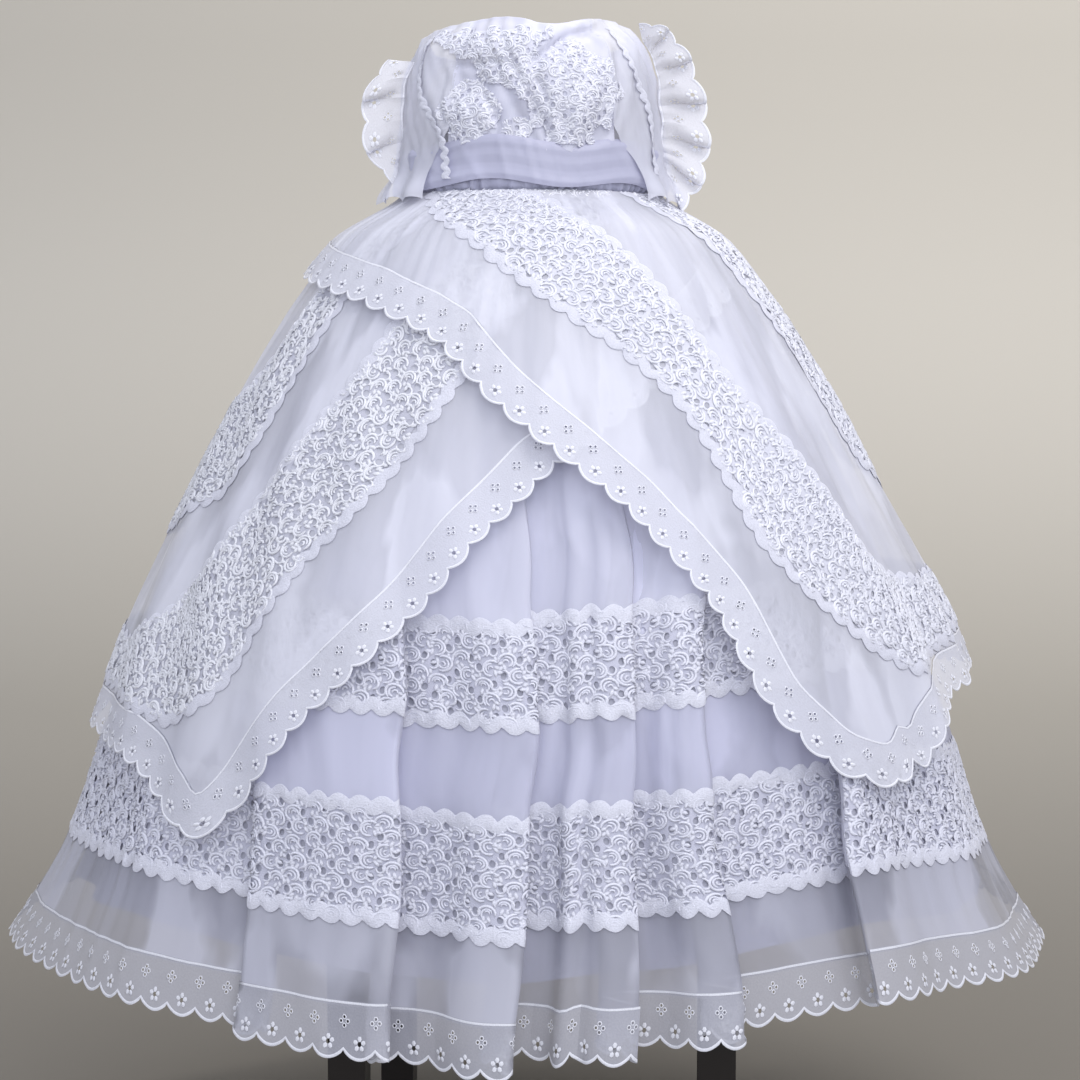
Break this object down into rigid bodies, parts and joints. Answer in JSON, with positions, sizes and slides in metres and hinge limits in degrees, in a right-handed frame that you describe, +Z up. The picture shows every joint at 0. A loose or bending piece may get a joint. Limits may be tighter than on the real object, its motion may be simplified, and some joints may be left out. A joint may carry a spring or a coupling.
{
  "type": "candomble skirt with crossed overskirt and gathered sash, on a limbless form and stand",
  "caption": "Full tiered ceremonial skirt of organza, lace and eyelet with a crossed overskirt and gathered sash, standing on a plain limbless form and wooden stand.",
  "frame": {"origin": "on the floor, under the middle of the skirt", "axes": "+Z up, front of the skirt at -Y, right as seen from the front at +X"},
  "size_m": [1.1098, 0.9768, 1.246],
  "materials": {
    "organza": "sheer lavender-white organza with a soft satin streak along its gathers",
    "lace": "white guipure lace of small roses with open holes, slight silky sheen",
    "eyelet": "white broderie anglaise border, half sheer, with satin-stitched scallops and flowers",
    "ric_rac": "matt white woven zigzag braid",
    "lining": "plain white cotton underlay",
    "stand": "dark brown, almost black, satin wood",
    "form": "plain pale matt form"
  },
  "bodies": {
    "root": {"waistband": "organza", "upper_tier": "organza", "upper_lace": "lace", "middle_tier": "organza", "lower_lace": "lace", "hem_tier": "organza", "hem_eyelet": "eyelet", "lower_lace_bottom_ric_rac": "ric_rac", "lower_lace_top_ric_rac": "ric_rac", "upper_lace_bottom_ric_rac": "ric_rac", "upper_lace_top_ric_rac": "ric_rac", "lining": "lining", "under_panel_eyelet": "eyelet", "under_panel_organza_low": "organza", "under_panel_lace_long": "lace", "under_panel_organza_middle": "organza", "under_panel_lace_short": "lace", "under_panel_organza_top": "organza", "under_panel_seam_1_ric_rac": "ric_rac", "under_panel_seam_2_ric_rac": "ric_rac", "under_panel_seam_3_ric_rac": "ric_rac", "under_panel_seam_4_ric_rac": "ric_rac", "over_panel_eyelet": "eyelet", "over_panel_organza_low": "organza", "over_panel_lace_long": "lace", "over_panel_organza_middle": "organza", "over_panel_lace_short": "lace", "over_panel_organza_top": "organza", "over_panel_seam_1_ric_rac": "ric_rac", "over_panel_seam_2_ric_rac": "ric_rac", "over_panel_seam_3_ric_rac": "ric_rac", "over_panel_seam_4_ric_rac": "ric_rac", "sash_band": "organza", "sash_left_lappet": "organza", "sash_lace_front": "lace", "sash_right_lappet": "organza", "sash_back": "organza", "sash_right_frill": "eyelet", "sash_left_frill": "eyelet", "sash_left_ric_rac": "ric_rac", "sash_right_ric_rac": "ric_rac", "stand_leg_front_left": "stand", "stand_leg_front_right": "stand", "stand_leg_back_left": "stand", "stand_leg_back_right": "stand", "stand_rail_front": "stand", "stand_rail_back": "stand", "stand_rail_left": "stand", "stand_rail_right": "stand", "stand_board": "stand", "form": "form"}
  },
  "joints": []
}
